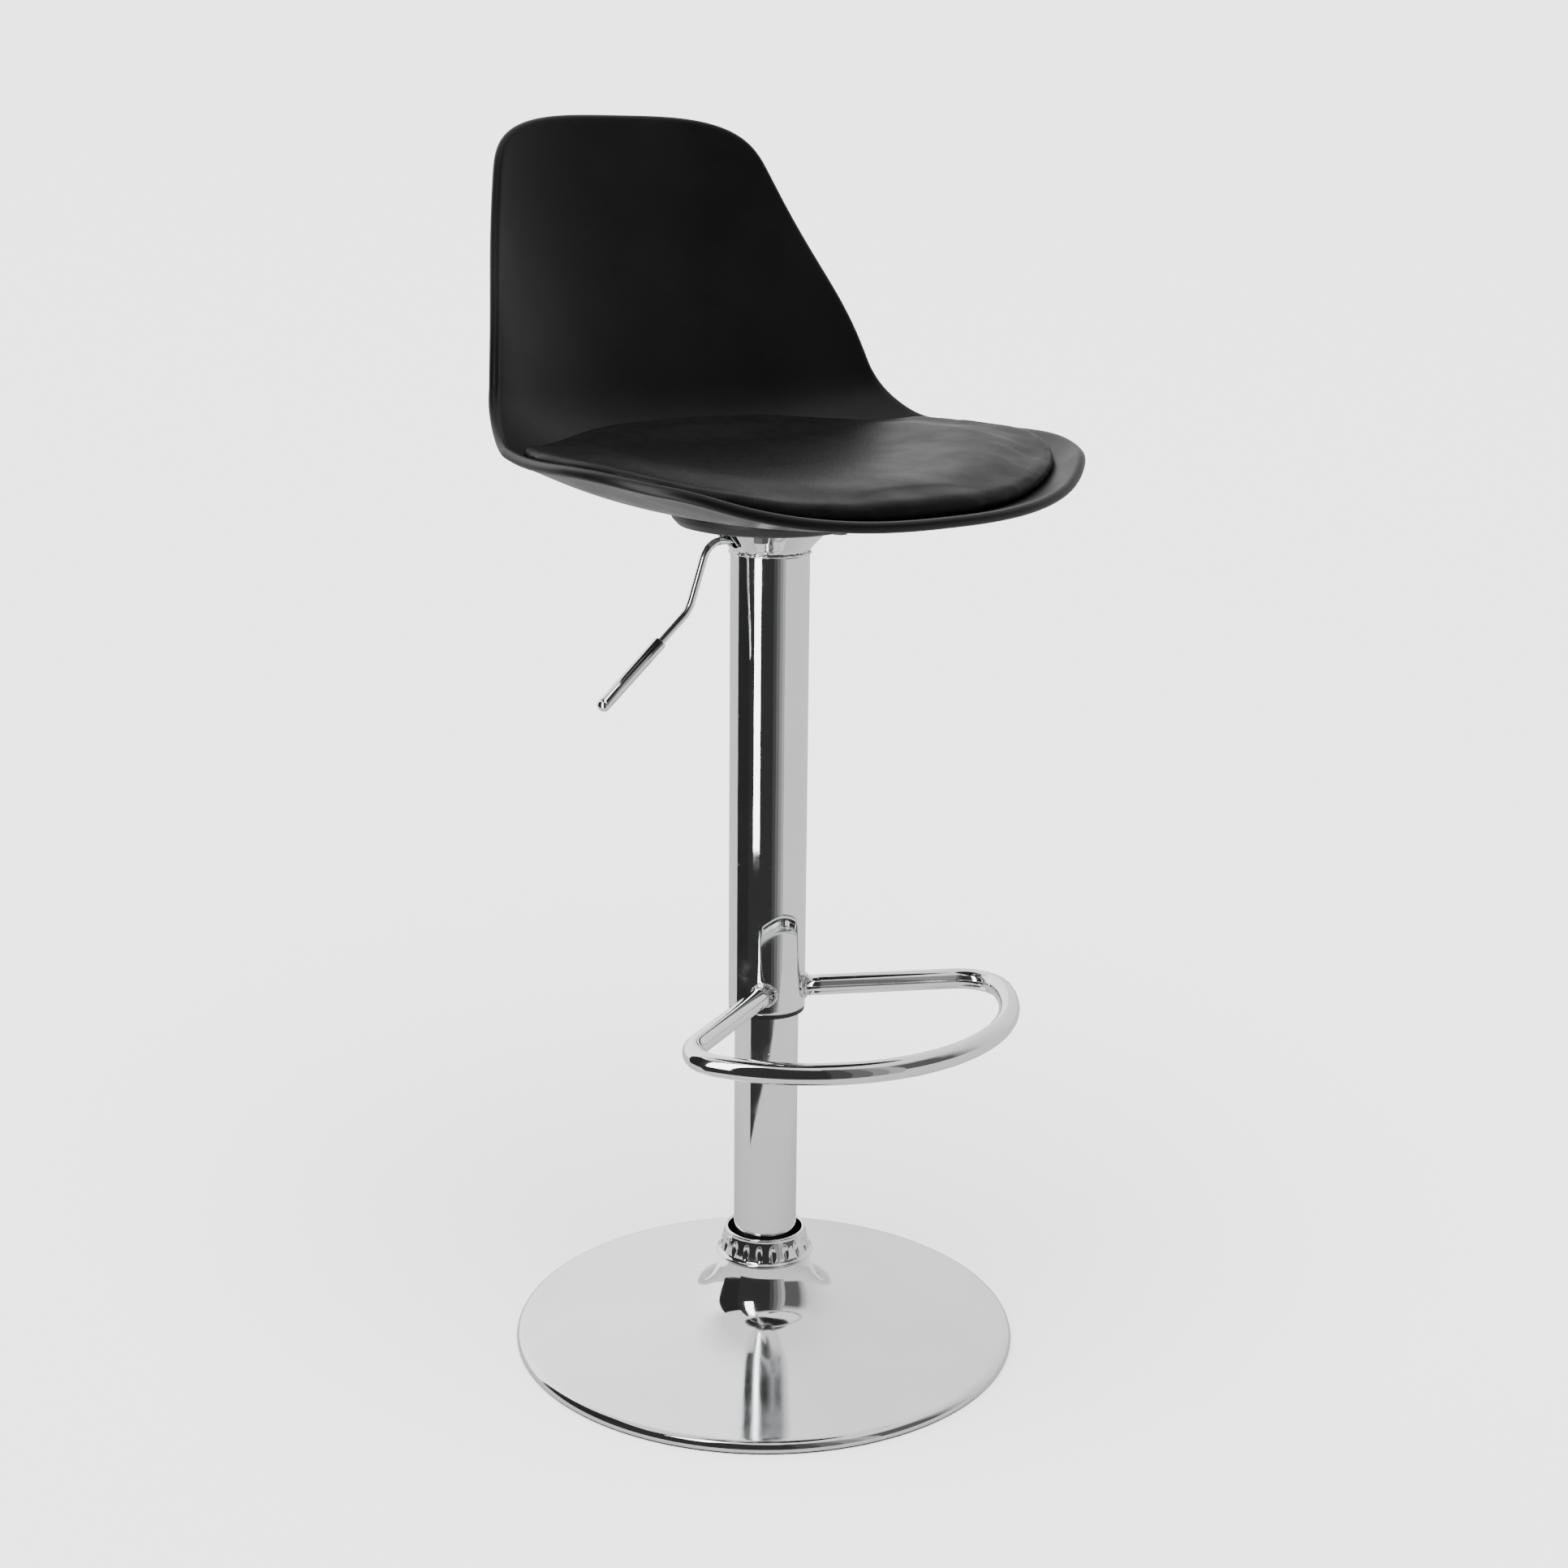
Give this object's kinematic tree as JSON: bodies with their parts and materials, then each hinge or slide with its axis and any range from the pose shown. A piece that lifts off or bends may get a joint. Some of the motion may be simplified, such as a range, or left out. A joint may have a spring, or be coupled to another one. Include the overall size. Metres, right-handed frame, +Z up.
{
  "type": "bar stool",
  "caption": "Height-adjustable swivel bar stool: padded bucket seat on a gas lift, with a bent-tube footrest, release lever and round base.",
  "frame": {"origin": "where the column axis meets the floor, at the underside of the floor ring", "axes": "+Z up the column; the sitter faces -Y and the release lever is on the sitter right, at -X"},
  "size_m": [0.424, 0.4162, 0.955],
  "materials": {
    "chrome": "mirror-bright nickel-chrome plate over tube and sheet, with light polishing lines",
    "zinc_steel": "bright zinc-plated or ground steel",
    "dark_steel": "black phosphated or painted steel",
    "black_plastic": "fine-textured moulded plastic",
    "shell_plastic": "satin moulded polypropylene with a fine grain",
    "black_leatherette": "soft coated leatherette with a fine pebble grain",
    "rubber": "matt black rubber",
    "plywood": "plain birch plywood",
    "brass": "turned brass"
  },
  "bodies": {
    "base": {"base_trumpet": "chrome", "base_ballast_plate": "zinc_steel", "base_floor_ring": "rubber", "base_screws": "zinc_steel", "column_flange": "dark_steel", "column_spigot": "dark_steel", "column_foot_plate": "dark_steel", "column_tube": "chrome", "base_collar": "chrome", "column_guide_bush": "black_plastic", "thrust_washer_lower": "zinc_steel", "bearing_balls": "zinc_steel", "ball_cage": "brass"},
    "lift_rod": {"thrust_washer_upper": "zinc_steel", "piston_rod": "zinc_steel", "rod_washer": "zinc_steel", "rod_clip": "dark_steel", "rod_buffer": "rubber", "piston": "brass"},
    "seat_column": {"gas_cylinder": "dark_steel", "cylinder_gland": "brass", "rod_seal": "rubber", "taper_socket": "dark_steel", "socket_plate": "dark_steel", "sleeve_tube": "chrome", "sleeve_bush_lower": "black_plastic", "footrest": "chrome", "mounting_cone": "chrome", "seat_plate": "dark_steel", "lever_bracket": "zinc_steel", "lever_pivot_pin": "zinc_steel", "seat_disc": "black_plastic", "seat_shell": "shell_plastic", "pad_board": "plywood", "seat_pad": "black_leatherette", "seat_bolts": "dark_steel", "seat_washers": "dark_steel", "threaded_inserts": "brass"},
    "lever": {"lever_rod": "chrome", "lever_grip": "chrome", "lever_end_cap": "chrome"},
    "valve_pin": {"release_pin": "zinc_steel"}
  },
  "joints": [
    {"name": "seat_swivel", "type": "hinge", "parent": "base", "child": "lift_rod", "pos_m": [0, 0, 0.017], "axis": [0, 0, 1], "continuous": true},
    {"name": "seat_height", "type": "slide", "parent": "lift_rod", "child": "seat_column", "axis": [0, 0, 1], "range_m": [-0.17, 0]},
    {"name": "lever_tilt", "type": "hinge", "parent": "seat_column", "child": "lever", "pos_m": [-0.028, 0, 0.65], "axis": [0, 1, 0], "range_deg": [0, 8], "stiffness_Nm_per_rad": 1.2, "springref_deg": -14.32},
    {"name": "pin_press", "type": "slide", "parent": "seat_column", "child": "valve_pin", "axis": [0, 0, -1], "range_m": [0, 0.004]}
  ],
  "couplings": [
    {"joint": "pin_press", "follows": "lever_tilt", "m_per_rad": 0.028}
  ]
}
